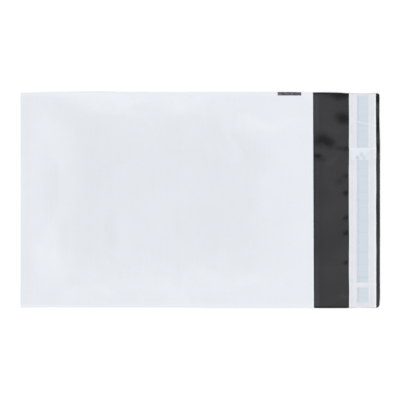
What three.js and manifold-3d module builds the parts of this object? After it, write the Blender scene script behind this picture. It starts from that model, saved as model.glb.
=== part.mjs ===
// A poly mailer bag, lying flat, empty and open. One web of co-extruded
// polyethylene film, white outside and dark inside, is folded at the bottom and
// welded along both sides, so that it makes a pouch. The back of the web runs on
// past the mouth as a closing lip. The lip carries a band of pressure-sensitive
// adhesive, covered by a release liner that peels off.
//
// Millimetres. X runs along the bag, from the bottom fold to the end of the lip.
// Y runs across it, from weld to weld. Z is up, and z = 0 is the surface that
// the bag lies on.

import * as THREE from "three";
import { mergeVertices } from "three/addons/utils/BufferGeometryUtils.js";
import Module from "manifold-3d";

const wasm = await Module();
wasm.setup();

// Film and pouch
const bagWidth = 170;
const pouchLength = 231; // bottom fold to mouth, along the middle
const lipLength = 52.5; // mouth to the end of the lip
const filmGauge = 0.06;
const foldRadius = 0.05; // inside the crease at the bottom
const mouthSkew = 0.7; // how far the cut across the mouth is out of square
const lipCornerRadii = { near: 3, far: 1.6 }; // at -Y and at +Y

// How the front panel stands off the back panel
const pouchRise = 5.9; // over the middle of the pouch
const mouthRise = 5.2; // over the middle of the mouth
const mouthFall = 60; // length over which the rise changes from one to the other
const sideSlope = 32; // from a weld to the full rise
const foldSlope = 40; // from the bottom fold to the full rise

// Side welds, where the two layers of film are fused
const weldWidth = 2;
const weldBead = 0.1; // the hot knife leaves a bead proud of the film's cut edge
const weldSetback = 0.5; // the weld stops this far short of the mouth

// Adhesive band and release liner, both on the inner face of the lip
const linerStart = 27.9; // from the mouth to the liner's near edge
const linerWidth = 21.6;
const linerLength = 169.4;
const linerGauge = 0.05;
const linerSlope = 1.2; // beside the adhesive, where the liner comes down to the film
const adhesiveInset = 6.1; // from the liner's near edge to the adhesive
const adhesiveWidth = 9.3;
const adhesiveLength = 163.8;
const adhesiveDepth = 0.1;

// Number of flat facets along each curved stretch
const foldFacets = 6;
const slopeFacets = 8;
const fallFacets = 4;
const levelFacets = 3;
const cornerFacets = 8;

// Lines that follow from the driving dimensions
const bagLength = pouchLength + lipLength;
const foldX = -bagLength / 2;
const lipEndX = bagLength / 2;
const mouthX = foldX + pouchLength;
const foldCentreX = foldX + filmGauge + foldRadius;
const sideY = bagWidth / 2 - weldBead;
const weldInnerY = sideY - weldWidth;
const layerGap = 2 * foldRadius; // between the two layers along the welds
const adhesiveTop = filmGauge + adhesiveDepth;

const smooth = (t) => THREE.MathUtils.smoothstep(t, 0, 1);

// count + 1 evenly spaced places from a to b
function spaced(a, b, count) {
  return Array.from({ length: count + 1 }, (_, i) => THREE.MathUtils.lerp(a, b, i / count));
}

// Places from the first to the last of several stretches, each [end, facets]
function stations(start, stretches) {
  const places = [start];
  for (const [end, count] of stretches) {
    places.push(...spaced(places.at(-1), end, count).slice(1));
  }
  return places;
}

// A closed thin sheet. Its two big faces are grids on the places given along and
// across, and point(along, across, side, target) puts each corner of the grid,
// with side 0 on the lower face and 1 on the upper face.
function sheetGeometry(along, across, point) {
  const columns = along.length - 1;
  const rows = across.length - 1;
  const geometry = new THREE.BoxGeometry(columns, rows, 1, columns, rows, 1);
  const position = geometry.attributes.position;
  const corner = new THREE.Vector3();
  for (let i = 0; i < position.count; i += 1) {
    const column = Math.round(position.getX(i) + columns / 2);
    const row = Math.round(position.getY(i) + rows / 2);
    const side = Math.round(position.getZ(i) + 1 / 2);
    point(along[column], across[row], side, corner);
    position.setXYZ(i, corner.x, corner.y, corner.z);
  }
  return geometry;
}

// A closed geometry as a solid that can be joined and cut
function solidFrom(geometry) {
  const bare = geometry.clone();
  bare.deleteAttribute("normal");
  bare.deleteAttribute("uv");
  const merged = mergeVertices(bare, 1e-4);
  const mesh = new wasm.Mesh({
    numProp: 3,
    vertProperties: new Float32Array(merged.attributes.position.array),
    triVerts: new Uint32Array(merged.index.array),
  });
  return new wasm.Manifold(mesh);
}

function geometryFrom(solid) {
  const mesh = solid.getMesh();
  const geometry = new THREE.BufferGeometry();
  geometry.setAttribute("position", new THREE.BufferAttribute(mesh.vertProperties, 3));
  geometry.setIndex(new THREE.BufferAttribute(mesh.triVerts, 1));
  geometry.computeVertexNormals();
  return geometry;
}

function boxBetween(low, high) {
  const size = new THREE.Vector3().subVectors(high, low);
  const middle = new THREE.Vector3().addVectors(low, high).multiplyScalar(0.5);
  return new THREE.BoxGeometry(size.x, size.y, size.z).translate(middle.x, middle.y, middle.z);
}

function mouthAt(y) {
  return mouthX - (mouthSkew * y) / bagWidth;
}

// How far the front panel stands above where it would lie flat on the back panel
function riseAt(x, y) {
  const towardsMouth = smooth((x - mouthX + mouthFall) / mouthFall);
  const full = THREE.MathUtils.lerp(pouchRise, mouthRise, towardsMouth);
  const acrossSlope = smooth((weldInnerY - Math.abs(y)) / sideSlope);
  const alongSlope = smooth((x - foldCentreX) / foldSlope);
  return full * acrossSlope * alongSlope;
}

// The web is laid out along one line, from the mouth's edge of the front panel to
// the end of the lip. Its places are pairs: a stretch, and how far along it.
function webPlaces() {
  const frontStretches = [
    [mouthX - mouthFall, fallFacets],
    [foldCentreX + foldSlope, levelFacets],
    [foldCentreX, slopeFacets],
  ];
  return [
    ...stations(mouthX, frontStretches)
      .slice(0, -1)
      .map((x) => ["front", x]),
    ...spaced(0, 1, foldFacets).map((turn) => ["fold", turn]),
    ["back", mouthX],
    ["back", lipEndX],
  ];
}

// Side 1 of the web is the dark inner face, and side 0 the white outer face.
function webPoint([stretch, place], y, side, target) {
  const outward = (1 - side) * filmGauge;
  if (stretch === "back") {
    return target.set(place, y, filmGauge - outward);
  }
  if (stretch === "fold") {
    const angle = Math.PI * (place + 1 / 2);
    const radius = foldRadius + outward;
    const centreZ = filmGauge + foldRadius;
    return target.set(foldCentreX + radius * Math.cos(angle), y, centreZ + radius * Math.sin(angle));
  }
  const share = (place - foldCentreX) / (mouthX - foldCentreX);
  const x = THREE.MathUtils.lerp(foldCentreX, mouthAt(y), share);
  return target.set(x, y, filmGauge + layerGap + riseAt(place, y) + outward);
}

function acrossPlaces() {
  const slopeEnd = weldInnerY - sideSlope;
  return stations(-sideY, [
    [-weldInnerY, 1],
    [-slopeEnd, slopeFacets],
    [slopeEnd, levelFacets],
    [weldInnerY, slopeFacets],
    [sideY, 1],
  ]);
}

// One side weld: it fills the space between the layers, from mid-film to mid-film,
// and swallows their cut edges.
function weldBar(direction) {
  const ends = [direction * weldInnerY, direction * (sideY + weldBead)];
  const low = new THREE.Vector3(foldX + filmGauge / 2, Math.min(...ends), filmGauge / 2);
  const highX = mouthAt(direction * sideY) - weldSetback;
  const high = new THREE.Vector3(highX, Math.max(...ends), filmGauge + layerGap + filmGauge / 2);
  return boxBetween(low, high);
}

// What the rounded cut takes off one corner of the lip
function cornerOffcut(direction, radius) {
  const beyond = 1;
  const shape = new THREE.Shape();
  shape.moveTo(lipEndX, sideY - radius);
  shape.absarc(lipEndX - radius, sideY - radius, radius, 0, Math.PI / 2, false);
  shape.lineTo(lipEndX - radius, sideY + beyond);
  shape.lineTo(lipEndX + beyond, sideY + beyond);
  shape.lineTo(lipEndX + beyond, sideY - radius);
  const options = { depth: 2 * beyond, bevelEnabled: false, curveSegments: cornerFacets };
  const geometry = new THREE.ExtrudeGeometry(shape, options).translate(0, 0, -beyond);
  if (direction < 0) {
    geometry.rotateX(Math.PI);
  }
  return geometry;
}

function filmGeometry() {
  const web = solidFrom(sheetGeometry(webPlaces(), acrossPlaces(), webPoint));
  const welded = web.add(solidFrom(weldBar(-1))).add(solidFrom(weldBar(1)));
  const trimmed = welded
    .subtract(solidFrom(cornerOffcut(-1, lipCornerRadii.near)))
    .subtract(solidFrom(cornerOffcut(1, lipCornerRadii.far)));
  return geometryFrom(trimmed);
}

const linerX = mouthX + linerStart;
const adhesiveX = linerX + adhesiveInset;

function adhesiveGeometry() {
  const low = new THREE.Vector3(adhesiveX, -adhesiveLength / 2, filmGauge);
  const high = new THREE.Vector3(adhesiveX + adhesiveWidth, adhesiveLength / 2, adhesiveTop);
  return boxBetween(low, high);
}

// The liner lies on the adhesive, and comes down to the film on every side of it.
function linerGeometry() {
  const adhesiveEndX = adhesiveX + adhesiveWidth;
  const adhesiveSideY = adhesiveLength / 2;
  const linerSideY = linerLength / 2;
  const along = [linerX, adhesiveX - linerSlope, adhesiveX, adhesiveEndX];
  along.push(adhesiveEndX + linerSlope, linerX + linerWidth);
  const across = [-linerSideY, -adhesiveSideY - linerSlope, -adhesiveSideY];
  across.push(adhesiveSideY, adhesiveSideY + linerSlope, linerSideY);
  return sheetGeometry(along, across, (x, y, side, target) => {
    const onAdhesive = x >= adhesiveX && x <= adhesiveEndX && Math.abs(y) <= adhesiveSideY;
    const lower = onAdhesive ? adhesiveTop : filmGauge;
    return target.set(x, y, lower + side * linerGauge);
  });
}

function part(name, geometry, finish) {
  const mesh = new THREE.Mesh(geometry, new THREE.MeshStandardMaterial(finish));
  mesh.name = name;
  return mesh;
}

const group = new THREE.Group();
group.add(part("bag_film", filmGeometry(), { color: 0xe8ecf1, roughness: 0.42, metalness: 0 }));
group.add(part("adhesive_strip", adhesiveGeometry(), { color: 0xd2dae2, roughness: 0.3, metalness: 0 }));
group.add(part("release_liner", linerGeometry(), { color: 0xe4e8ee, roughness: 0.36, metalness: 0 }));

export default group;
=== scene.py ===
import math
import bmesh
import bpy
from mathutils import Matrix, Vector, noise
from mathutils.bvhtree import BVHTree


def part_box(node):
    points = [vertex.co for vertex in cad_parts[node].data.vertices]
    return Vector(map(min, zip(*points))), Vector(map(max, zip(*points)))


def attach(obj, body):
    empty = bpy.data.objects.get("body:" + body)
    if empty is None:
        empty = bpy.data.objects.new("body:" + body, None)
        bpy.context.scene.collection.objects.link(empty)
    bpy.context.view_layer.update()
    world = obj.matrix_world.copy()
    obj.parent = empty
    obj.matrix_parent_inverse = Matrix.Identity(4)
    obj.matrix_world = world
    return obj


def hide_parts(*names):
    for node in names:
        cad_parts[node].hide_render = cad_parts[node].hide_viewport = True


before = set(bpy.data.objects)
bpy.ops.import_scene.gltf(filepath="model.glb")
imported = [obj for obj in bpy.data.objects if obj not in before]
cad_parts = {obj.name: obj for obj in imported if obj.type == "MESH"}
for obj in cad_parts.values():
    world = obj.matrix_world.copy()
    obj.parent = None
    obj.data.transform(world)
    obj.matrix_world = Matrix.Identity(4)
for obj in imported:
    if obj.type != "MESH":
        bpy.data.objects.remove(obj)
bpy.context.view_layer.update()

mm = 0.001

filmLow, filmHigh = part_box("bag_film")
glueLow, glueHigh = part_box("adhesive_strip")
linerLow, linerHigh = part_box("release_liner")


def smooth(t):
    t = min(max(t, 0.0), 1.0)
    return t * t * (3 - 2 * t)


def arch(t):
    # from 0 to 1, steep at first and level at the end, as the front panel rises from a weld
    t = min(max(t, 0.0), 1.0)
    return t * (2 - t)


def lerp(a, b, t):
    return a + (b - a) * t


def wander(points, x):
    # a smooth line through a few given places
    if x <= points[0][0]:
        return points[0][1]
    for (xa, a), (xb, b) in zip(points, points[1:]):
        if x <= xb:
            return lerp(a, b, smooth((x - xa) / (xb - xa)))
    return points[-1][1]


def ripple(x, y, lengthX, lengthY, seed):
    # smooth noise, about -0.6 to 0.6, with its own length along X and along Y
    return noise.noise(Vector((x / lengthX, y / lengthY, seed)))


def steps(a, b, cell):
    count = max(1, math.ceil(abs(b - a) / cell - 1e-6))
    return [lerp(a, b, i / count) for i in range(count + 1)]


def chain(start, stretches):
    # places from start through several stretches, each (end, cell)
    places = [start]
    for end, cell in stretches:
        places += steps(places[-1], end, cell)[1:]
    return places


def gridOn(bm, along, across, place):
    # a sheet of faces whose corners lie where place(along, across) says
    made = bmesh.ops.create_grid(bm, x_segments=len(along) - 1, y_segments=len(across) - 1, size=1)
    for vert in made["verts"]:
        column = round((vert.co.x + 1) / 2 * (len(along) - 1))
        row = round((vert.co.y + 1) / 2 * (len(across) - 1))
        vert.co = place(along[column], across[row])


def newPiece(name, bm, materials):
    mesh = bpy.data.meshes.new(name)
    bm.to_mesh(mesh)
    bm.free()
    for material in materials:
        mesh.materials.append(material)
    piece = bpy.data.objects.new(name, mesh)
    bpy.context.scene.collection.objects.link(piece)
    return piece


def applied(piece):
    # makes the modifiers part of the mesh
    graph = bpy.context.evaluated_depsgraph_get()
    mesh = bpy.data.meshes.new_from_object(piece.evaluated_get(graph), depsgraph=graph)
    piece.modifiers.clear()
    old = piece.data
    piece.data = mesh
    bpy.data.meshes.remove(old)
    mesh.name = piece.name


def thicken(piece, gauge, offset, materialOffset=0):
    solidify = piece.modifiers.new("gauge", "SOLIDIFY")
    solidify.thickness = gauge
    solidify.offset = offset
    solidify.material_offset = materialOffset
    applied(piece)


def shadeSmooth(piece, degrees):
    piece.data.shade_smooth()
    piece.data.set_sharp_from_angle(angle=math.radians(degrees))


def addNode(tree, kind, inputs=None, **settings):
    node = tree.nodes.new(kind)
    for name, value in settings.items():
        setattr(node, name, value)
    for name, value in (inputs or {}).items():
        if isinstance(value, bpy.types.NodeSocket):
            tree.links.new(value, node.inputs[name])
        else:
            node.inputs[name].default_value = value
    return node


def sums(tree, operation, a, b=0.0, c=0.0):
    return addNode(tree, "ShaderNodeMath", {0: a, 1: b, 2: c}, operation=operation).outputs[0]


def times(tree, *values):
    product = values[0]
    for value in values[1:]:
        product = sums(tree, "MULTIPLY", product, value)
    return product


def opposite(tree, value):
    return sums(tree, "SUBTRACT", 1.0, value)


def scaled(tree, place, factors):
    # the place stretched or flattened along X, Y and Z, for a texture to follow
    inputs = {0: place, 1: factors}
    return addNode(tree, "ShaderNodeVectorMath", inputs, operation="MULTIPLY").outputs[0]


def shiftedOnFilm(tree, place, shift):
    # the place without its height, moved so that the outlines painted there waver
    inputs = {0: scaled(tree, place, (1, 1, 0)), 1: shift}
    return addNode(tree, "ShaderNodeVectorMath", inputs, operation="ADD").outputs[0]


def ramp(tree, value, low, high, toLow=0.0, toHigh=1.0):
    # an eased step from toLow to toHigh as value goes from low to high
    inputs = {"Value": value, "From Min": low, "From Max": high, "To Min": toLow, "To Max": toHigh}
    node = addNode(tree, "ShaderNodeMapRange", inputs, interpolation_type="SMOOTHSTEP")
    return node.outputs["Result"]


def blendColours(tree, share, a, b):
    a, b = [(*colour, 1) if isinstance(colour, tuple) else colour for colour in (a, b)]
    return addNode(tree, "ShaderNodeMix", {0: share, 6: a, 7: b}, data_type="RGBA").outputs[2]


def between(tree, value, low, high, edge):
    # 1 between low and high, fading over edge on both sides
    rising = ramp(tree, value, low - edge / 2, low + edge / 2)
    falling = ramp(tree, value, high - edge / 2, high + edge / 2, 1.0, 0.0)
    return times(tree, rising, falling)


def noiseOn(tree, place, scale, detail=2.0, roughness=0.5):
    inputs = {"Vector": place, "Scale": scale, "Detail": detail, "Roughness": roughness}
    return addNode(tree, "ShaderNodeTexNoise", inputs).outputs["Fac"]


def spots(tree, place, listed):
    # ellipses lying on the film, each (x, y, half length, half width, turn, strength), in mm and degrees
    fade = 1.3  # they fade out this far from their centres, in half sizes
    total = 0.0
    for x, y, halfX, halfY, turn, strength in listed:
        inputs = {
            "Vector": place,
            "Location": (x * mm, y * mm, 0),
            "Rotation": (0, 0, math.radians(turn)),
            "Scale": (halfX * mm, halfY * mm, 1),
        }
        turned = addNode(tree, "ShaderNodeMapping", inputs, vector_type="TEXTURE").outputs[0]
        away = addNode(tree, "ShaderNodeVectorMath", {0: turned}, operation="LENGTH").outputs["Value"]
        total = sums(tree, "MAXIMUM", total, ramp(tree, away, 0.0, fade, strength, 0.0))
    return total


def newMaterial(name):
    material = bpy.data.materials.new(name)
    material.use_nodes = True
    tree = material.node_tree
    return material, tree, tree.nodes["Principled BSDF"]


def filmSurfaceGroup():
    # what all blown film has: lines from the die along Y, haze, and a fine orange peel
    tree = bpy.data.node_groups.new("filmSurface", "ShaderNodeTree")
    for name in ("Line Width", "Haze Size", "Peel Size", "Peel Depth"):
        tree.interface.new_socket(name, in_out="INPUT", socket_type="NodeSocketFloat")
    for name in ("Lines", "Haze", "Height"):
        tree.interface.new_socket(name, in_out="OUTPUT", socket_type="NodeSocketFloat")
    given = tree.nodes.new("NodeGroupInput").outputs
    place = addNode(tree, "ShaderNodeTexCoord").outputs["Object"]
    inMm = scaled(tree, place, (1 / mm, 1 / mm, 1 / mm))
    stretched = scaled(tree, inMm, (1.0, 0.02, 1.0))
    lines = noiseOn(tree, stretched, sums(tree, "DIVIDE", 1.0, given["Line Width"]), 3.0, 0.6)
    haze = noiseOn(tree, inMm, sums(tree, "DIVIDE", 1.0, given["Haze Size"]), 4.0, 0.55)
    peel = noiseOn(tree, inMm, sums(tree, "DIVIDE", 1.0, given["Peel Size"]))
    height = sums(tree, "MULTIPLY_ADD", peel, given["Peel Depth"], sums(tree, "MULTIPLY", lines, 0.35))
    out = tree.nodes.new("NodeGroupOutput")
    for name, socket in (("Lines", lines), ("Haze", haze), ("Height", height)):
        tree.links.new(socket, out.inputs[name])
    return tree


filmSurface = filmSurfaceGroup()


def surfaceOf(tree, lineWidth, hazeSize, peelSize, peelDepth):
    node = tree.nodes.new("ShaderNodeGroup")
    node.node_tree = filmSurface
    node.inputs["Line Width"].default_value = lineWidth
    node.inputs["Haze Size"].default_value = hazeSize
    node.inputs["Peel Size"].default_value = peelSize
    node.inputs["Peel Depth"].default_value = peelDepth
    return node.outputs


def placeOn(tree):
    place = addNode(tree, "ShaderNodeTexCoord").outputs["Object"]
    parts = addNode(tree, "ShaderNodeSeparateXYZ", {0: place}).outputs
    return place, parts["X"], parts["Y"]


def dressSurface(tree, shader, colour, roughness, height, strength=0.5, distance=0.02 * mm):
    tree.links.new(colour, shader.inputs["Base Color"])
    tree.links.new(roughness, shader.inputs["Roughness"])
    bump = addNode(tree, "ShaderNodeBump", {"Height": height, "Strength": strength, "Distance": distance})
    tree.links.new(bump.outputs[0], shader.inputs["Normal"])


bag = {
    "gauge": 0.06 * mm,
    "foldX": filmLow.x,
    "endX": filmHigh.x,
    "sideY": filmHigh.y,
    "pouchLength": 231 * mm,
    "lipLength": 52.5 * mm,
    "mouthSkew": 0.7 * mm,  # the cut across the mouth is this much out of square
    "foldRadius": 0.07 * mm,
    "foldFacets": 6,
    "weldWidth": 2 * mm,
    "weldBead": 0.1 * mm,
    "weldSetback": 0.4 * mm,
    "rise": 5.1 * mm,  # front panel above the back panel, over the middle, before it settles
    "mouthRise": 4.3 * mm,
    "mouthFall": 45 * mm,
    "mouthDrawIn": 0.08,  # the mouth's edge moves back by this share of its rise
    "foldFlat": 8 * mm,  # the panel lies flat beside the fold, then rises
    "lipCorners": {-1: 3.0 * mm, 1: 1.8 * mm},
    "bulgeHeight": 0.3 * mm,
    "puckerReach": 12 * mm,
    "puckerDepth": 6.0,  # against the film's own fine relief
    "cell": 1.5 * mm,
    "backCell": 3.0 * mm,
    "foldCell": 0.7 * mm,  # from foldReach to the fold
    "foldReach": 6 * mm,
    "fineCell": 0.25 * mm,  # and from fineReach, and round the lip's corners
    "fineReach": 1 * mm,
    "white": (0.709, 0.732, 0.772),
    "paintedLighter": 1.08,  # share by which the film is painted lighter where it isn't greyed, standing for light caught on its slopes
    "paintedEdgeLight": 1.11,  # and the painted light along the cut sides and painted highlight along the mouth's edge
    "black": (0.003, 0.003, 0.004),
    "greyed": (0.0300, 0.0300, 0.0328),
    "tinted": (0.0505, 0.0485, 0.0645),  # painted lighter beside the mouth, a painted reflection of the front panel's raised edge, and lighter beyond the liner
    "whiteRoughness": (0.28, 0.34),
    "darkRoughness": (0.29, 0.42),
    "paintedFoldShade": 0.12,  # how much greyer the front is painted where it lies flat beside the fold, as shade
    "paintedMiddleShade": 0.3,  # painted shade over its level middle
    "paintedPatchShade": 0.5,  # and in the patches of painted shade on it
}
# how far the cut sides wander from straight, in mm: (place along the bag, offset)
bag["sideWander"] = {
    1: [(-142, -0.35), (-110, 0.15), (-79, 0.5), (-50, -0.05), (16, -0.25), (70, 0.1), (84, -0.15)],
    -1: [(-142, -0.05), (-120, -0.5), (-80, -0.3), (-32, -0.25), (16, 0.15), (83, 0.15), (95, 0.5)],
}
bag["sideWander"][1] += [(95, 0.0), (108, -0.2), (116, -0.7), (126, -1.3), (136, -1.1), (140, -0.9)]
bag["sideWander"][-1] += [(114, 0.5), (126, -0.1), (136, 0.0), (140, 0.3)]
# how far the lip's end is cut back, in mm: (place across the bag, offset)
bag["endWander"] = [(-85, -0.4), (-74, 0.0), (40, 0.0), (66, -0.4), (85, -0.4)]
# width of the slope from each weld up to the level middle, in mm: (place along the bag, width)
bag["sideSlope"] = {
    1: [(-142, 40), (-100, 27), (-60, 29), (-38, 38), (-12, 29), (27, 58), (38, 46), (60, 50), (89, 54)],
    -1: [(-142, 60), (-112, 42), (-85, 38), (-60, 44), (-20, 40), (-5, 46), (40, 42), (60, 48), (89, 46)],
}
# and of the slope up from the fold: (place across the bag, width)
bag["foldSlope"] = [(-85, 34), (-50, 38), (-12, 46), (20, 50), (50, 46), (68, 40), (85, 34)]
# places where the lip bulges up, each also painted darker as shade of its slopes, in mm and degrees:
# (x, y, half length, half width, turn, strength)
bag["bulges"] = [
    (113.0, 64.3, 8.4, 5.8, -20, 1.1),
    (98.8, 46.8, 10.0, 5.4, -28, 1.3),
    (94.0, 46.8, 6.0, 6.5, 0, 0.8),
    (92.8, 34.8, 4.6, 2.6, -8, 1.2),
    (94.0, 32.8, 7.0, 3.0, -14, 0.5),
    (110.5, 41.0, 7.5, 2.2, -6, 0.5),
    (110.3, 15.0, 5.0, 3.6, 20, 0.4),
]
# painted shade on the lip along its curled far edge and at its lifted end
bag["rubs"] = [
    (112.0, 83.8, 13.0, 5.0, 6, 1.3),
    (98.0, 84.8, 11.0, 2.0, 2, 1.3),
    (140.3, 80.0, 5.0, 5.0, 0, 1.4),
    (140.8, 59.0, 4.0, 10.0, 0, 1.2),
    (140.3, 41.0, 5.0, 6.0, 0, 1.0),
    (140.3, -10.0, 4.0, 30.0, 0, 0.5),
]
# and where it is painted lighter, in spots
bag["smears"] = [
    (103.0, 29.9, 5.0, 2.0, 30, 1.0),
    (113.2, -76.7, 4.0, 2.6, 0, 1.4),
    (103.5, 56.0, 6.0, 3.0, -25, 0.4),
]
# painted shade where the lip puckers beside the liner's edge: (place across the bag, strength)
bag["linerMarks"] = [(40.5, 0.8), (18.8, 0.8), (5.4, 1.1), (-14.3, 0.9), (-26.2, 1.1), (-49.8, 0.9)]
bag["linerMarkX"] = 115.0
bag["linerMarkShape"] = (3.4, 2.6, 20)  # half length, half width, turn
# the level middle of the front, painted a little greyer as shade, since it lies flat and catches less
# light than the slopes round it, in mm
bag["middle"] = {
    "low": (-121, -51),  # its corner by the fold and the near weld
    "high": (48, 73),  # and by the mouth and the far weld
    "notch": (-8, 26, 36),  # in its far edge: the start, the floor and the end
    "notchDepths": (46, 26),  # down to the floor, and back up to the end
    "corner": 14,  # how far it is cut back by the fold, on the near side of cornerEnd
    "cornerEnd": -45,
    "edge": 14,  # how softly it ends
}
# patches of painted shade on it, where its gentle undulations would shade it, listed as the bulges are
bag["greyPatches"] = [
    (-69.5, -24.0, 7.0, 26.0, 0, 0.9),
    (-74.8, 27.0, 5.0, 5.0, 0, 0.7),
    (-71.0, 7.0, 4.0, 9.0, 0, 0.6),
    (-108.0, -28.0, 6.0, 22.0, 0, 0.8),
    (-90.0, 14.0, 36.0, 56.0, 0, 0.5),
    (-86.0, -66.0, 22.0, 9.0, 0, 0.6),
    (15.0, 50.0, 7.0, 24.0, 28, 0.8),
    (14.0, 20.0, 40.0, 50.0, 0, 0.3),
    (-17.0, 38.0, 10.0, 4.0, 0, 0.5),
    (-19.0, -16.0, 6.0, 14.0, 0, 0.4),
    (-18.0, -60.0, 3.5, 16.0, 0, 0.5),
    (38.0, -50.0, 6.0, 20.0, 0, 0.4),
    (39.0, -2.0, 5.0, 10.0, 0, 0.4),
]
bag["mouthX"] = bag["foldX"] + bag["pouchLength"]
bag["filmSideY"] = bag["sideY"] - bag["weldBead"]
bag["weldInnerY"] = bag["filmSideY"] - bag["weldWidth"]

eyeMark = {
    "x": 70.3 * mm,
    "halfLength": 9.35 * mm,
    "depth": 2.65 * mm,
    "ink": (0.075, 0.068, 0.092),
    "wornInk": (0.19, 0.18, 0.23),
}


def levelMiddle(tree, x, y, warp):
    # 1 on the level middle of the front panel, 0 towards the welds, the fold and the mouth
    middle = bag["middle"]
    x = sums(tree, "ADD", x, warp)
    y = sums(tree, "SUBTRACT", y, warp)
    left, near = middle["low"]
    right, far = middle["high"]
    notchStart, notchFloor, notchEnd = (place * mm for place in middle["notch"])
    fall, climb = (depth * mm for depth in middle["notchDepths"])
    top = sums(tree, "ADD", ramp(tree, x, notchStart, notchFloor, 0.0, -fall), far * mm)
    top = sums(tree, "ADD", top, ramp(tree, x, notchFloor, notchEnd, 0.0, climb))
    cornerEnd = middle["cornerEnd"] * mm
    leftEdge = ramp(tree, y, cornerEnd, 0.0, (left + middle["corner"]) * mm, left * mm)
    edge = middle["edge"] * mm
    fromLeft = ramp(tree, sums(tree, "SUBTRACT", x, leftEdge), -edge, edge)
    fromRight = ramp(tree, x, right * mm - edge, right * mm + edge, 1.0, 0.0)
    fromNear = ramp(tree, y, near * mm - edge, near * mm + edge)
    fromFar = ramp(tree, sums(tree, "SUBTRACT", y, top), -edge / 2, edge / 2, 1.0, 0.0)
    return times(tree, fromLeft, fromRight, fromNear, fromFar)


def registrationBar(tree, place, x, y):
    # beside the far weld, on the front only, with slightly ragged edges
    ragged = sums(tree, "MULTIPLY_ADD", noiseOn(tree, place, 900.0, 1.0), 0.5 * mm, -0.25 * mm)
    fromMiddle = sums(tree, "ABSOLUTE", sums(tree, "SUBTRACT", x, eyeMark["x"]))
    half = eyeMark["halfLength"]
    start = bag["sideY"] - eyeMark["depth"]
    soft = 0.15 * mm
    inLength = ramp(tree, sums(tree, "ADD", fromMiddle, ragged), half - soft, half + soft, 1.0, 0.0)
    inDepth = ramp(tree, sums(tree, "ADD", y, ragged), start - soft, start + soft)
    facing = addNode(tree, "ShaderNodeTexCoord").outputs["Normal"]
    up = addNode(tree, "ShaderNodeSeparateXYZ", {0: facing}).outputs["Z"]
    return times(tree, inLength, inDepth, ramp(tree, up, -0.1, 0.1))


def whiteFilm():
    material, tree, shader = newMaterial("whiteFilm")
    place, x, y = placeOn(tree)
    surface = surfaceOf(tree, lineWidth=3.0, hazeSize=45.0, peelSize=0.7, peelDepth=0.4)
    warp = sums(tree, "MULTIPLY_ADD", noiseOn(tree, place, 60.0, 3.0), 40 * mm, -20 * mm)
    middle = levelMiddle(tree, x, y, warp)
    mottle = sums(tree, "MULTIPLY_ADD", surface["Lines"], 0.3, times(tree, surface["Haze"], 0.7))
    shift = times(tree, warp, 0.15)
    # patches of painted shade, for the film's gentle undulations
    patches = spots(tree, shiftedOnFilm(tree, place, shift), bag["greyPatches"])
    # painted shade over the level middle, where the flat film catches less light
    paintedMiddleShade = times(tree, middle, bag["paintedMiddleShade"])
    greyed = sums(tree, "MULTIPLY_ADD", patches, bag["paintedPatchShade"], paintedMiddleShade)
    # painted shade beside the fold, where the panel lies flat and catches less light than the slope
    # beyond it
    pressedTo = bag["foldX"] + bag["foldFlat"]
    flatShade = ramp(tree, x, pressedTo - 0.8 * mm, pressedTo, bag["paintedFoldShade"], 0.0)
    greyed = sums(tree, "ADD", greyed, flatShade)
    grain = sums(tree, "MULTIPLY_ADD", noiseOn(tree, place, 1100.0), 0.4, -0.2)
    uneven = sums(tree, "ADD", ramp(tree, mottle, 0.3, 0.7, -0.2, 0.2), grain)
    # painted a little lighter towards the mouth, as light caught where the panel slopes down to it
    mouthward = ramp(tree, x, 20 * mm, bag["mouthX"], 0.75, 1.0)
    paintedLightAndMottle = sums(tree, "SUBTRACT", mouthward, sums(tree, "ADD", greyed, uneven))
    paintedLighter = tuple(channel * bag["paintedLighter"] for channel in bag["white"])
    colour = blendColours(tree, paintedLightAndMottle, bag["white"], paintedLighter)
    # painted light along the cut sides, and a painted highlight along the mouth's edge
    fromMiddle = sums(tree, "ABSOLUTE", y)
    bySide = ramp(tree, fromMiddle, bag["weldInnerY"] - 2 * mm, bag["weldInnerY"] + 1 * mm)
    byMouth = ramp(tree, x, bag["mouthX"] - 1.6 * mm, bag["mouthX"] - 0.6 * mm)
    paintedEdgeLight = tuple(channel * bag["paintedEdgeLight"] for channel in bag["white"])
    colour = blendColours(tree, sums(tree, "MAXIMUM", bySide, byMouth), colour, paintedEdgeLight)
    worn = ramp(tree, noiseOn(tree, place, 480.0), 0.45, 0.75)
    ink = blendColours(tree, worn, eyeMark["ink"], eyeMark["wornInk"])
    colour = blendColours(tree, registrationBar(tree, place, x, y), colour, ink)
    roughness = ramp(tree, surface["Haze"], 0.3, 0.7, *bag["whiteRoughness"])
    # fine puckers run in from the welds and fade out
    stretched = scaled(tree, place, (1.0, 0.15, 1.0))
    byWeld = ramp(tree, fromMiddle, bag["weldInnerY"] - bag["puckerReach"], bag["weldInnerY"])
    puckers = times(tree, noiseOn(tree, stretched, 260.0, 3.0, 0.6), byWeld, bag["puckerDepth"])
    height = sums(tree, "ADD", surface["Height"], puckers)
    dressSurface(tree, shader, colour, roughness, height)
    return material


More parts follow.
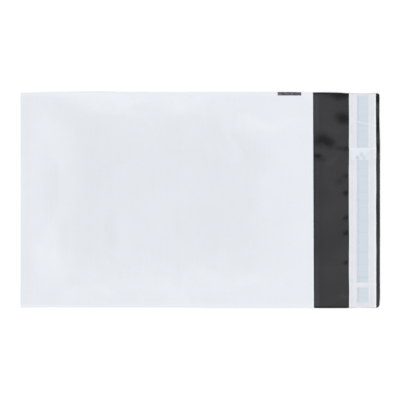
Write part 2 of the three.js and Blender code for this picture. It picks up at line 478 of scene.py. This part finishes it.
def darkFilm():
    # the slip agent has bloomed on it as a grey veil, thinned to darker, glossier spots that are painted
    # shade for the lip's bulges, curled edges and puckers
    material, tree, shader = newMaterial("darkFilm")
    place, x, y = placeOn(tree)
    surface = surfaceOf(tree, lineWidth=2.0, hazeSize=30.0, peelSize=0.6, peelDepth=0.5)
    shift = sums(tree, "MULTIPLY_ADD", noiseOn(tree, place, 160.0), 3 * mm, -1.5 * mm)
    shifted = shiftedOnFilm(tree, place, shift)
    markX, markShape = bag["linerMarkX"], bag["linerMarkShape"]
    marks = [(markX, across, *markShape, strength) for across, strength in bag["linerMarks"]]
    paintedShadeAndGloss = spots(tree, shifted, bag["bulges"] + bag["rubs"] + marks)
    # painted shade too along its own curled cut sides, and a painted contact shadow beside the liner's
    # edge
    fromMiddle = sums(tree, "ABSOLUTE", y)
    bySide = ramp(tree, fromMiddle, bag["sideY"] - 1.4 * mm, bag["sideY"] - 0.8 * mm, 0.0, 0.9)
    byLiner = ramp(tree, x, linerLow.x - 1.2 * mm, linerLow.x - 0.2 * mm, 0.0, 0.25)
    paintedShadeAndGloss = sums(tree, "MAXIMUM", paintedShadeAndGloss, sums(tree, "MAXIMUM", bySide, byLiner))
    veil = times(tree, ramp(tree, surface["Haze"], 0.3, 0.7, 0.68, 0.9), opposite(tree, paintedShadeAndGloss))
    veil = sums(tree, "MULTIPLY_ADD", spots(tree, shifted, bag["smears"]), 0.3, veil)
    # painted lighter and bluer beside the mouth, as a reflection of the front panel's raised edge
    byMouth = ramp(tree, x, bag["mouthX"] + 3 * mm, bag["mouthX"] + 5.5 * mm, 0.75, 0.0)
    byEnd = ramp(tree, x, linerHigh.x - 1 * mm, linerHigh.x + 1 * mm, 0.0, 0.5)
    greyed = blendColours(tree, sums(tree, "ADD", byMouth, byEnd), bag["greyed"], bag["tinted"])
    colour = blendColours(tree, veil, bag["black"], greyed)
    roughness = ramp(tree, veil, 0.0, 1.0, *bag["darkRoughness"])
    dressSurface(tree, shader, colour, roughness, surface["Height"])
    return material


def mouthAt(y):
    return bag["mouthX"] - bag["mouthSkew"] * y / (2 * bag["sideY"])


def halfWidth(x, side):
    # from the middle line to the cut side of the film, rounded off at the lip's corners
    straight = bag["filmSideY"] + wander(bag["sideWander"][side], x / mm) * mm
    corner = bag["lipCorners"][side]
    into = x - (bag["endX"] - corner)
    if into <= 0:
        return straight
    return straight - corner + math.sqrt(max(corner**2 - into**2, 0.0))


def bulgeLift(x, y, middleX, middleY, halfX, halfY, turn, strength):
    along = Vector((x / mm - middleX, y / mm - middleY))
    along.rotate(Matrix.Rotation(math.radians(-turn), 2))
    away = (along.x / halfX) ** 2 + (along.y / halfY) ** 2
    return bag["bulgeHeight"] * strength * math.exp(-2 * away)


lying = {
    "sideFrom": 60 * mm,  # the back lifts off the table from here out to the welds
    "sideReach": 25 * mm,
    "sideLift": 0.25 * mm,
    "sideWaves": (55 * mm, 400 * mm),  # their lengths along X and along Y
    "lipFrom": 10 * mm,  # before the mouth, where the lip's waves start
    "lipReach": 25 * mm,
    "lipLift": 0.2 * mm,
    "lipWaves": (30 * mm, 26 * mm),
    "tipReach": 14 * mm,  # the end of the lip, which lifts
    "tipLift": 0.4 * mm,
    "tipWaves": (300 * mm, 34 * mm),
}


def backHeight(x, y):
    # the outer face of the back panel and lip, above the table
    edge = smooth((abs(y) - lying["sideFrom"]) / lying["sideReach"])
    lift = lying["sideLift"] * edge * (1 + ripple(x, y, *lying["sideWaves"], 3.1))
    lipward = smooth((x - bag["mouthX"] + lying["lipFrom"]) / lying["lipReach"])
    wave = lying["lipLift"] * lipward * (1 + ripple(x, y, *lying["lipWaves"], 7.7))
    tip = lying["tipLift"] * smooth((x - bag["endX"] + lying["tipReach"]) / lying["tipReach"])
    bulges = sum(bulgeLift(x, y, *bulge) for bulge in bag["bulges"]) if lipward > 0 else 0.0
    return lift + wave + bulges + tip * (1 + ripple(x, y, *lying["tipWaves"], 5.2))


def loftRise(x, y):
    # the front panel above where it would lie flat on the back panel, before it settles
    side = 1 if y >= 0 else -1
    across = arch((bag["weldInnerY"] - abs(y)) / (wander(bag["sideSlope"][side], x / mm) * mm))
    along = smooth((x - bag["foldX"] - bag["foldFlat"]) / (wander(bag["foldSlope"], y / mm) * mm))
    mouthward = smooth((x - bag["mouthX"] + bag["mouthFall"]) / bag["mouthFall"])
    return lerp(bag["rise"], bag["mouthRise"], mouthward) * across * along


settling = {
    "cell": 2.5 * mm,
    "spare": 0.001,  # share by which the film is longer and wider than its loft
    "hold": 0.05,  # how firmly it keeps to the loft; 1 would not move
    "unevenness": 0.05 * mm,
    "unevenLength": 8 * mm,
    "quality": 6,
    "mass": 0.02,
    "stiffness": 60,
    "shear": 30,
    "bending": 0.5,
    "damping": 5,
    "airDamping": 2,
    "frames": 30,
    "smoothing": 2,
}


def settleAsCloth(panel):
    cloth = panel.modifiers.new("settling", "CLOTH")
    cloth.collision_settings.use_collision = False
    cloth.settings.quality = settling["quality"]
    cloth.settings.mass = settling["mass"]
    cloth.settings.tension_stiffness = settling["stiffness"]
    cloth.settings.compression_stiffness = settling["stiffness"]
    cloth.settings.shear_stiffness = settling["shear"]
    cloth.settings.bending_stiffness = settling["bending"]
    cloth.settings.tension_damping = settling["damping"]
    cloth.settings.compression_damping = settling["damping"]
    cloth.settings.shear_damping = settling["damping"]
    cloth.settings.air_damping = settling["airDamping"]
    cloth.settings.vertex_group_mass = "held"
    cloth.settings.shrink_min = -settling["spare"]
    cloth.settings.shrink_max = -settling["spare"]
    cloth.settings.effector_weights.gravity = 0
    cloth.point_cache.frame_end = settling["frames"]
    for step in range(1, settling["frames"] + 1):
        bpy.context.scene.frame_set(step)
    applied(panel)
    bpy.context.scene.frame_set(1)


def settledPanel():
    # the front panel as cloth, held at the welds and the fold, so that its spare length puckers
    def place(x, y):
        length = settling["unevenLength"]
        uneven = settling["unevenness"] * ripple(x, y, length, length, 1.3)
        return Vector((x, y, loftRise(x, y) + uneven))

    inner = bag["weldInnerY"]
    bm = bmesh.new()
    cell = settling["cell"]
    gridOn(bm, steps(bag["foldX"], bag["mouthX"], cell), steps(-inner, inner, cell), place)
    panel = newPiece("frontPanel", bm, [])
    held = panel.vertex_groups.new(name="held")
    for vert in panel.data.vertices:
        fromEdge = min(vert.co.x - bag["foldX"], inner - abs(vert.co.y))
        if fromEdge < 1e-6:
            vert.co.z = 0
        held.add([vert.index], 1.0 if fromEdge < 1e-6 else settling["hold"], "REPLACE")
    settleAsCloth(panel)
    rounding = panel.modifiers.new("rounding", "SUBSURF")
    rounding.levels = rounding.render_levels = settling["smoothing"]
    applied(panel)
    shape = BVHTree.FromObject(panel, bpy.context.evaluated_depsgraph_get())
    bpy.data.objects.remove(panel)
    return shape


panelShape = settledPanel()
print("front panel settled")


def riseAt(x, y):
    # how far the settled front panel stands off the back panel
    inner = bag["weldInnerY"]
    y = max(-inner, min(inner, y))
    above = 100 * mm
    hit = panelShape.ray_cast(Vector((x, y, above)), Vector((0, 0, -1)))[0]
    if hit is None:
        hit = panelShape.find_nearest(Vector((x, y, 0)))[0]
    return max(hit.z, 0.0)


def webPlaces():
    # the unfolded web, from the mouth's edge of the front panel to the end of the lip
    cell, fineCell = bag["cell"], bag["fineCell"]
    innerX = bag["foldX"] + bag["gauge"] / 2 + bag["foldRadius"]
    nearFold = (innerX + bag["foldReach"], cell)
    beside = innerX + bag["fineReach"]
    front = chain(bag["mouthX"], [nearFold, (beside, bag["foldCell"]), (innerX, fineCell)])
    turns = [("fold", i / bag["foldFacets"]) for i in range(bag["foldFacets"] + 1)]
    back = chain(innerX, [(beside, fineCell), (bag["mouthX"] - 3 * mm, bag["backCell"])])
    corner = max(bag["lipCorners"].values())
    lip = chain(back[-1], [(bag["endX"] - corner, cell), (bag["endX"], fineCell)])
    return [("front", x) for x in front[:-1]] + turns + [("back", x) for x in back[1:] + lip[1:]]


def acrossPlaces():
    inner = bag["weldInnerY"]
    half = chain(0, [(inner - 6 * mm, bag["cell"]), (inner, 1 * mm), (bag["filmSideY"], 0.5 * mm)])
    return [-y for y in reversed(half[1:])] + half


def webPoint(stretchAndPlace, y):
    stretch, x = stretchAndPlace
    side = 1 if y >= 0 else -1
    gauge, radius = bag["gauge"], bag["foldRadius"]
    centreX = bag["foldX"] + gauge / 2 + radius
    if stretch == "fold":
        y *= halfWidth(bag["foldX"], side) / bag["filmSideY"]
        angle = math.pi * (x + 0.5)
        arm = radius + gauge / 2
        lift = backHeight(bag["foldX"], y) + gauge + radius
        return Vector((centreX + arm * math.cos(angle), y, lift + arm * math.sin(angle)))
    flatY = y
    y *= halfWidth(x, side) / bag["filmSideY"]
    base = backHeight(x, y) + gauge / 2
    if stretch == "back":
        nearEnd = smooth((x - bag["endX"] + 20 * mm) / (20 * mm))
        return Vector((x + wander(bag["endWander"], y / mm) * mm * nearEnd, y, base))
    gap = gauge + 2 * radius + riseAt(x, flatY)
    share = (x - centreX) / (bag["mouthX"] - centreX)
    drawnIn = bag["mouthDrawIn"] * riseAt(bag["mouthX"], flatY)
    return Vector((lerp(centreX, mouthAt(y) - drawnIn, share), y, base + gap))


def makeWeld(side, materials):
    # the melted film along one side, from the middle of one layer to the middle of the other
    start = bag["foldX"] + bag["gauge"]
    end = mouthAt(side * bag["sideY"]) - bag["weldSetback"]

    def place(x, share):
        outer = halfWidth(x, side) + bag["weldBead"]
        y = side * lerp(outer - bag["weldBead"] - bag["weldWidth"], outer, share)
        return Vector((x, y, backHeight(x, y) + bag["gauge"] + bag["foldRadius"]))

    bm = bmesh.new()
    gridOn(bm, steps(start, end, bag["backCell"]), [0, 0.5, 1], place)
    weld = newPiece("weld", bm, materials[:1])
    thicken(weld, bag["gauge"] + 2 * bag["foldRadius"], 0)
    bm = bmesh.new()
    bm.from_mesh(weld.data)
    bmesh.ops.recalc_face_normals(bm, faces=bm.faces)
    bm.to_mesh(weld.data)
    bm.free()
    return weld


def makeBag():
    materials = [whiteFilm(), darkFilm()]
    bm = bmesh.new()
    gridOn(bm, webPlaces(), acrossPlaces(), webPoint)
    bmesh.ops.reverse_faces(bm, faces=bm.faces)  # the white outside is the front of each face
    piece = newPiece("bagFilm", bm, materials)
    thicken(piece, bag["gauge"], 0, 1)
    for side in (-1, 1):
        weld = makeWeld(side, materials)
        join = piece.modifiers.new("weld", "BOOLEAN")
        join.operation = "UNION"
        join.solver = "MANIFOLD"
        join.object = weld
        applied(piece)
        bpy.data.objects.remove(weld)
    shadeSmooth(piece, 40)
    return piece


bagFilm = makeBag()
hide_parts("bag_film")
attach(bagFilm, "root")
print("bag film", len(bagFilm.data.polygons), "faces")

glue = {
    "lowX": glueLow.x,
    "highX": glueHigh.x,
    "sideY": glueHigh.y,
    "depth": glueHigh.z - glueLow.z,
    "cell": 0.9 * mm,
    "skin": 0.15,  # share of its depth that is made; the liner hides what is missing under it
    "ribs": 0.15,  # share of its depth by which its top varies
    "thinning": 0.75,  # share of its depth that its long edges lack
    "waver": 0.15 * mm,
    "clear": 0.01 * mm,
    "thin": (0.5, 0.56, 0.62),
    "cloudy": (0.62, 0.67, 0.72),
    "roughness": (0.12, 0.24),
}


def adhesiveFinish():
    material, tree, shader = newMaterial("hotMelt")
    surface = surfaceOf(tree, lineWidth=1.2, hazeSize=8.0, peelSize=0.5, peelDepth=0.8)
    cloud = ramp(tree, surface["Haze"], 0.3, 0.7)
    colour = blendColours(tree, cloud, glue["thin"], glue["cloudy"])
    roughness = ramp(tree, surface["Haze"], 0.3, 0.7, *glue["roughness"])
    dressSurface(tree, shader, colour, roughness, surface["Height"], strength=0.6, distance=0.05 * mm)
    return material


def lipTop(x, y):
    return backHeight(x, y) + bag["gauge"]


def makeAdhesive():
    # the top skin of a band laid by a nozzle: its sides waver and it has faint ribs across
    def place(x, y):
        share = (x - glue["lowX"]) / (glue["highX"] - glue["lowX"])
        edge = abs(2 * share - 1)
        outward = 1 if share > 0.5 else -1
        waver = glue["waver"] * ripple(x, y, 500 * mm, 6 * mm, 2.2) * edge**4 * outward
        thinner = glue["thinning"] * glue["depth"] * edge**6
        rib = glue["ribs"] * glue["depth"] * abs(ripple(x, y, 300 * mm, 1.6 * mm, 4.4))
        top = lipTop(x, y) + glue["depth"] - glue["clear"]
        return Vector((x + waver, y, top - thinner - rib))

    bm = bmesh.new()
    along = steps(glue["lowX"], glue["highX"], glue["cell"])
    gridOn(bm, along, steps(-glue["sideY"], glue["sideY"], glue["cell"]), place)
    piece = newPiece("adhesiveBand", bm, [adhesiveFinish()])
    thicken(piece, glue["skin"] * glue["depth"], -1)
    shadeSmooth(piece, 50)
    return piece


adhesiveBand = makeAdhesive()
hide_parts("adhesive_strip")
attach(adhesiveBand, "root")
print("adhesive band", len(adhesiveBand.data.polygons), "faces")

liner = {
    "gauge": 0.05 * mm,
    "lowX": linerLow.x,
    "highX": linerHigh.x,
    "sideY": linerHigh.y,
    "cell": 0.8 * mm,
    "shoulder": 1.4 * mm,
    "skew": 0.3 * mm,  # its outer edge runs this much nearer the mouth at the far end
    "skewFrom": 40 * mm,
    "nearInset": 0.2 * mm,  # and its inner edge starts this much further from the mouth
    "edgeCurl": 0.12 * mm,
    "edgeWaver": 0.22 * mm,
    "clear": 0.02 * mm,
    "inset": 0.1 * mm,  # from the cut sides of the bag to the liner's ends
    "liftHeight": 0.2 * mm,
    "creaseWidth": 0.8,  # in mm
    "roughness": (0.28, 0.36),
    "stuckFrom": -80.8 * mm,  # nearer than this the adhesive hasn't wetted the liner
    "pale": (0.702, 0.713, 0.755),
    "paler": (0.738, 0.745, 0.78),
    "white": (0.81, 0.825, 0.85),
    "bluish": (0.735, 0.79, 0.845),
    "greenish": (0.74, 0.765, 0.77),
    "wet": (0.615, 0.675, 0.735),
    "wetter": (0.565, 0.61, 0.68),
}
# creases across it, in mm: (place across the bag, height, lean, whiteness)
liner["creases"] = [(60.8, 0.2, -0.26, 0.4), (39.9, 0.45, 0.02, 0.7), (-66.3, 0.4, 0.0, 0.7)]
# where it has come off the adhesive, in mm: (place across the bag, half length, tone)
liner["lifted"] = [(36.3, 4.7, "bluish"), (-67.2, 1.9, "paler")]
# ribs of thicker adhesive, in mm: (place across the bag, half width, strength)
liner["ribs"] = [
    (62.8, 0.3, 0.7),
    (58.4, 0.3, 0.8),
    (43.0, 0.3, 0.7),
    (24.7, 0.3, 0.4),
    (18.6, 0.2, 0.7),
    (6.0, 0.2, 0.7),
    (-6.0, 0.3, 0.4),
    (-17.1, 0.3, 0.5),
    (-25.8, 0.2, 0.6),
    (-41.1, 0.4, 1.0),
    (-61.3, 1.2, 0.8),
    (-64.2, 0.3, 0.8),
    (-69.4, 0.3, 0.6),
]
# specks of adhesive where it has lifted, listed as the bulges are
liner["specks"] = [
    (127.3, 35.4, 2.0, 2.8, 10, 1.4),
    (124.2, 33.2, 2.0, 2.2, 0, 1.3),
    (129.2, 33.2, 2.2, 2.2, -20, 1.3),
    (131.6, 35.6, 1.2, 2.2, 0, 0.4),
]
# bands that run along it, in mm: (from its near edge, half width, strength, tone)
liner["bands"] = [
    (0.5, 0.5, 0.7, "white"),
    (4.7, 1.2, 0.5, "bluish"),
    (16.6, 0.8, 0.6, "greenish"),
    (17.8, 0.15, 0.6, "wet"),
    (19.0, 0.9, 0.4, "bluish"),
    (21.0, 0.7, 1.0, "white"),
]


def linerFinish():
    material, tree, shader = newMaterial("siliconisedFilm")
    place, x, y = placeOn(tree)
    surface = surfaceOf(tree, lineWidth=1.5, hazeSize=12.0, peelSize=0.5, peelDepth=0.5)
    pale = blendColours(tree, ramp(tree, surface["Haze"], 0.35, 0.65), liner["pale"], liner["paler"])
    ragged = sums(tree, "MULTIPLY_ADD", noiseOn(tree, place, 500.0), 0.8 * mm, -0.4 * mm)
    wavyX = sums(tree, "ADD", x, ragged)
    wavyY = sums(tree, "ADD", y, ragged)
    for middle, half, strength, tone in liner["bands"]:
        middle = liner["lowX"] + middle * mm
        band = between(tree, wavyX, middle - half * mm, middle + half * mm, 0.5 * mm)
        pale = blendColours(tree, times(tree, band, strength), pale, liner[tone])
    # painted darker where it lies wet against the adhesive, as a real one lets the lip show through
    stuckX = between(tree, wavyX, glue["lowX"] + 0.4 * mm, glue["highX"], 0.6 * mm)
    stuckY = between(tree, wavyY, liner["stuckFrom"], glue["sideY"], 0.8 * mm)
    stuck = times(tree, stuckX, stuckY)
    for middle, half, tone in liner["lifted"]:
        off = between(tree, wavyY, (middle - half) * mm, (middle + half) * mm, 0.8 * mm)
        stuck = times(tree, stuck, opposite(tree, off))
        nearGlue = between(tree, x, glue["lowX"] - 4 * mm, glue["highX"], 3 * mm)
        pale = blendColours(tree, times(tree, off, nearGlue, 0.7), pale, liner[tone])
    across = scaled(tree, place, (1.0, 30.0, 1.0))
    ribbed = ramp(tree, noiseOn(tree, across, 22.0, 3.0, 0.6), 0.5, 0.75, 0.0, 0.6)
    for middle, half, strength in liner["ribs"]:
        rib = between(tree, wavyY, (middle - half) * mm, (middle + half) * mm, 0.8 * mm)
        ribbed = sums(tree, "MAXIMUM", ribbed, times(tree, rib, strength))
    thicker = sums(tree, "MULTIPLY_ADD", noiseOn(tree, across, 12.0), -3 * mm, wavyX)
    fringe = ramp(tree, thicker, glue["lowX"] - 0.4 * mm, glue["lowX"] + 1.4 * mm, 0.9, 0.0)
    wet = blendColours(tree, sums(tree, "MAXIMUM", ribbed, fringe), liner["wet"], liner["wetter"])
    flat = scaled(tree, place, (1, 1, 0))
    stuck = sums(tree, "MAXIMUM", stuck, spots(tree, flat, liner["specks"]))
    colour = blendColours(tree, stuck, pale, wet)
    # whitened along its creases
    fromCentre = sums(tree, "SUBTRACT", x, (liner["lowX"] + liner["highX"]) / 2)
    for middle, _, lean, whiteness in liner["creases"]:
        leaning = sums(tree, "MULTIPLY_ADD", fromCentre, -lean, wavyY)
        line = between(tree, leaning, (middle - 0.5) * mm, (middle + 0.5) * mm, 0.8 * mm)
        broken = ramp(tree, noiseOn(tree, place, 260.0), 0.3, 0.6, 0.4, 1.0)
        colour = blendColours(tree, times(tree, line, broken, whiteness), colour, liner["white"])
    roughness = ramp(tree, surface["Haze"], 0.3, 0.7, *liner["roughness"])
    dressSurface(tree, shader, colour, roughness, surface["Height"])
    return material


def linerPoint(x, y):
    # its ends follow the cut sides of the bag, a little inside them
    side = 1 if y >= 0 else -1
    y *= (halfWidth(x, side) - liner["inset"]) / liner["sideY"]
    shoulder = liner["shoulder"]
    onGlue = smooth((x - glue["lowX"] + shoulder) / shoulder)
    onGlue *= smooth((glue["highX"] + shoulder - x) / shoulder)
    onGlue *= smooth((glue["sideY"] + shoulder - abs(y)) / shoulder)
    under = glue["depth"] * onGlue
    centre = (liner["lowX"] + liner["highX"]) / 2
    for middle, height, lean, _ in liner["creases"]:
        away = y / mm - middle - lean * (x - centre) / mm
        under += height * mm * math.exp(-((away / liner["creaseWidth"]) ** 2))
    for middle, half, _ in liner["lifted"]:
        under += liner["liftHeight"] * smooth(1.3 - abs(y / mm - middle) / half)
    towardsEdge = abs(x - centre) / ((liner["highX"] - liner["lowX"]) / 2)
    under += liner["edgeCurl"] * towardsEdge**4 * (0.6 + ripple(x, y, 300 * mm, 11 * mm, 6.6))
    seed = 10.8 if x > centre else 6.8
    waver = liner["edgeWaver"] * towardsEdge**6 * ripple(x, y, 500 * mm, 16 * mm, seed)
    acrossLiner = (x - liner["lowX"]) / (liner["highX"] - liner["lowX"])
    waver += liner["nearInset"] * (1 - acrossLiner)
    farward = smooth((y - liner["skewFrom"]) / liner["skewFrom"])
    waver -= liner["skew"] * acrossLiner * farward
    return Vector((x + waver, y, lipTop(x, y) + liner["clear"] + under + liner["gauge"] / 2))


def makeLiner():
    bm = bmesh.new()
    along = steps(liner["lowX"], liner["highX"], liner["cell"])
    gridOn(bm, along, steps(-liner["sideY"], liner["sideY"], liner["cell"]), linerPoint)
    piece = newPiece("releaseLiner", bm, [linerFinish()])
    thicken(piece, liner["gauge"], 0)
    shadeSmooth(piece, 50)
    return piece


releaseLiner = makeLiner()
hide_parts("release_liner")
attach(releaseLiner, "root")
print("release liner", len(releaseLiner.data.polygons), "faces")

studio = {
    "tableSize": 4.0,
    "tableDrop": 0.05 * mm,
    "tableWhite": 0.97,
    "lens": 120,
    "sensor": 36,
    "field": 315.7 * mm,  # width of table that the picture takes in
    "centre": (-0.2 * mm, -0.1 * mm),
    "overhead": 0.3,  # light from straight above, and from all round
    "around": 0.68,
    "capEdge": 0.8,  # height on the sky, 0 to 1, where it starts to darken
    "softboxes": 4,
    "softboxSize": 0.8,
    "softboxArm": 1.3,
    "softboxElevation": 42,
    "softboxPower": 3.3,
}


def makeTable():
    bm = bmesh.new()
    bmesh.ops.create_grid(bm, x_segments=1, y_segments=1, size=studio["tableSize"] / 2)
    for vert in bm.verts:
        vert.co.z = -studio["tableDrop"]
    material, _, shader = newMaterial("table")
    shader.inputs["Base Color"].default_value = (*[studio["tableWhite"]] * 3, 1)
    shader.inputs["Roughness"].default_value = 0.9
    shader.inputs["Specular IOR Level"].default_value = 0.1
    newPiece("table", bm, [material])


def makeLight():
    # a white room that is darker overhead, so that what slopes catches more light
    world = bpy.data.worlds.new("studio")
    world.use_nodes = True
    tree = world.node_tree
    direction = addNode(tree, "ShaderNodeTexCoord").outputs["Generated"]
    up = addNode(tree, "ShaderNodeSeparateXYZ", {0: direction}).outputs["Z"]
    strength = ramp(tree, up, studio["capEdge"], 1.0, studio["around"], studio["overhead"])
    tree.links.new(strength, tree.nodes["Background"].inputs["Strength"])
    tree.nodes["Background"].inputs["Color"].default_value = (1, 1, 1, 1)
    bpy.context.scene.world = world
    for i in range(studio["softboxes"]):
        turn = math.tau * i / studio["softboxes"]
        high = math.radians(studio["softboxElevation"])
        away = Vector((math.cos(turn) * math.cos(high), math.sin(turn) * math.cos(high), math.sin(high)))
        light = bpy.data.lights.new(f"softbox{i}", "AREA")
        light.shape = "SQUARE"
        light.size = studio["softboxSize"]
        light.energy = studio["softboxPower"]
        lamp = bpy.data.objects.new(light.name, light)
        lamp.location = away * studio["softboxArm"]
        lamp.rotation_euler = away.to_track_quat("Z", "Y").to_euler()
        bpy.context.scene.collection.objects.link(lamp)


def makeCamera():
    data = bpy.data.cameras.new("camera")
    data.lens = studio["lens"]
    data.sensor_width = studio["sensor"]
    camera = bpy.data.objects.new("camera", data)
    height = studio["field"] * studio["lens"] / studio["sensor"]
    camera.location = (*studio["centre"], height)
    bpy.context.scene.collection.objects.link(camera)
    bpy.context.scene.camera = camera
    bpy.context.scene.view_settings.view_transform = "Standard"


makeTable()
makeLight()
makeCamera()
print("studio ready")
